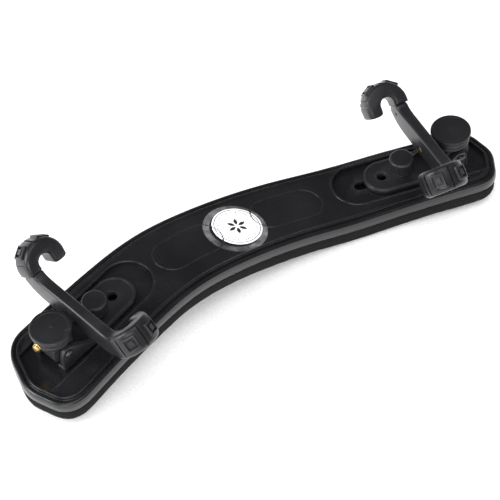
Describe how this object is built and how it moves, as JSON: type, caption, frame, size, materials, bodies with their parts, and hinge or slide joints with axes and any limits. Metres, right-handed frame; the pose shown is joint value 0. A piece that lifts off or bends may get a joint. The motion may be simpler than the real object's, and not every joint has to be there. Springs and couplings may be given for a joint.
{
  "type": "violin shoulder rest",
  "caption": "Curved padded bar that clips under a violin, with two folding forks on sliding carriages, screw-adjusted height and rubber-covered edge claws.",
  "frame": {"origin": "middle of the deck's centre line, at the centre of the label recess", "axes": "+X along the chord towards the narrow end, +Z towards the violin, -Y towards the concave edge of the bar"},
  "size_m": [0.2443, 0.0751, 0.0549],
  "materials": {
    "black_satin_plastic": "satin moulded",
    "black_gloss_plastic": "gloss moulded",
    "black_foam": "matt closed-cell foam",
    "claw_rubber": "matt moulded rubber",
    "brass": "turned",
    "steel": "plated",
    "label_print": "printed film"
  },
  "bodies": {
    "bar": {"body_shell": "black_satin_plastic", "foam_pad": "black_foam", "centre_label": "label_print"},
    "left_carriage": {"left_foot_plate": "black_satin_plastic", "left_hinge_pin": "steel", "left_clamp_washer": "steel", "left_clamp_nut": "steel"},
    "left_clamp_shank": {"left_clamp_screw": "steel"},
    "left_clamp_knob": {"left_clamp_knob": "black_gloss_plastic"},
    "left_turret": {"left_turret_block": "black_satin_plastic", "left_turret_cap": "black_gloss_plastic"},
    "left_stud": {"left_fork_stud": "brass"},
    "left_fork": {"left_fork_bar": "black_satin_plastic", "left_claw_sleeve_near": "claw_rubber", "left_claw_sleeve_far": "claw_rubber"},
    "right_carriage": {"right_foot_plate": "black_satin_plastic", "right_hinge_pin": "steel", "right_clamp_washer": "steel", "right_clamp_nut": "steel"},
    "right_clamp_shank": {"right_clamp_screw": "steel"},
    "right_clamp_knob": {"right_clamp_knob": "black_gloss_plastic"},
    "right_turret": {"right_turret_block": "black_satin_plastic", "right_turret_cap": "black_gloss_plastic"},
    "right_stud": {"right_fork_stud": "brass"},
    "right_fork": {"right_fork_bar": "black_satin_plastic", "right_claw_sleeve_near": "claw_rubber", "right_claw_sleeve_far": "claw_rubber"}
  },
  "joints": [
    {"name": "left_carriage_slide", "type": "slide", "parent": "bar", "child": "left_carriage", "axis": [-0.9578, -0.2638, -0.1142], "range_m": [-0.007, 0.002]},
    {"name": "left_clamp_lift", "type": "slide", "parent": "left_carriage", "child": "left_clamp_shank", "axis": [-0.1101, -0.0303, 0.9935], "range_m": [0, 0.0016]},
    {"name": "left_clamp_turn", "type": "hinge", "parent": "left_clamp_shank", "child": "left_clamp_knob", "pos_m": [-0.07757, -0.00847, 0.00176], "axis": [-0.1101, -0.0303, 0.9935], "range_deg": [0, 720]},
    {"name": "left_fold", "type": "hinge", "parent": "left_carriage", "child": "left_turret", "pos_m": [-0.10303, -0.01549, 0.00728], "axis": [0.1981, -0.9801, -0.008], "range_deg": [0, 90]},
    {"name": "left_height", "type": "slide", "parent": "left_turret", "child": "left_stud", "axis": [0.974, 0.1959, 0.114], "range_m": [0, 0.008]},
    {"name": "left_fork_swivel", "type": "hinge", "parent": "left_stud", "child": "left_fork", "pos_m": [-0.10352, -0.01562, 0.01175], "axis": [0.974, 0.1959, 0.114], "range_deg": [-4, 4]},
    {"name": "right_carriage_slide", "type": "slide", "parent": "bar", "child": "right_carriage", "axis": [0.9629, -0.2652, 0.0499], "range_m": [-0.007, 0.002]},
    {"name": "right_clamp_lift", "type": "slide", "parent": "right_carriage", "child": "right_clamp_shank", "axis": [-0.0481, 0.0133, 0.9988], "range_m": [0, 0.0016]},
    {"name": "right_clamp_turn", "type": "hinge", "parent": "right_clamp_shank", "child": "right_clamp_knob", "pos_m": [0.08215, -0.00954, -0.00619], "axis": [-0.0481, 0.0133, 0.9988], "range_deg": [0, 720]},
    {"name": "right_fold", "type": "hinge", "parent": "right_carriage", "child": "right_turret", "pos_m": [0.10427, -0.01563, 0.00347], "axis": [0.1462, 0.9892, -0.0061], "range_deg": [0, 90]},
    {"name": "right_height", "type": "slide", "parent": "right_turret", "child": "right_stud", "axis": [-0.9881, 0.1458, -0.0496], "range_m": [0, 0.008]},
    {"name": "right_fork_swivel", "type": "hinge", "parent": "right_stud", "child": "right_fork", "pos_m": [0.10405, -0.01557, 0.00796], "axis": [-0.9881, 0.1458, -0.0496], "range_deg": [-4, 4]}
  ],
  "couplings": [
    {"joint": "left_clamp_lift", "follows": "left_clamp_turn", "m_per_rad": 0.00012732},
    {"joint": "right_clamp_lift", "follows": "right_clamp_turn", "m_per_rad": 0.00012732}
  ]
}
